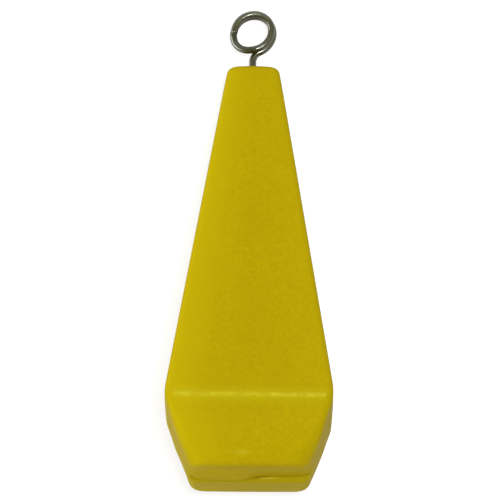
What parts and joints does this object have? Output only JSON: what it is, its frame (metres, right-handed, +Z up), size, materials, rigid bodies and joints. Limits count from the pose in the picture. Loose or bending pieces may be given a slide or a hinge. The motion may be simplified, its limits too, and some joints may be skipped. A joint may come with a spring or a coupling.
{
  "type": "casting practice plug",
  "caption": "Four-sided tapered casting practice plug: moulded half shells around a steel weight, with a bent wire eye at the narrow end for tying on a fishing line.",
  "frame": {"origin": "middle of the bounding box's bottom, on the plane of the rear face that the plug lies on", "axes": "+Y towards the wire eye, +Z up out of the table, +X to the right when the eye points away from the viewer"},
  "size_m": [0.0224, 0.0644, 0.0221],
  "materials": {
    "yellow_plastic": "satin moulded yellow",
    "plain_steel": "turned, uncoated",
    "bright_wire": "drawn bright wire, slightly dulled"
  },
  "bodies": {
    "root": {"front_half_shell": "yellow_plastic", "rear_half_shell": "yellow_plastic", "weight_slug": "plain_steel", "wire_eye": "bright_wire"}
  },
  "joints": []
}
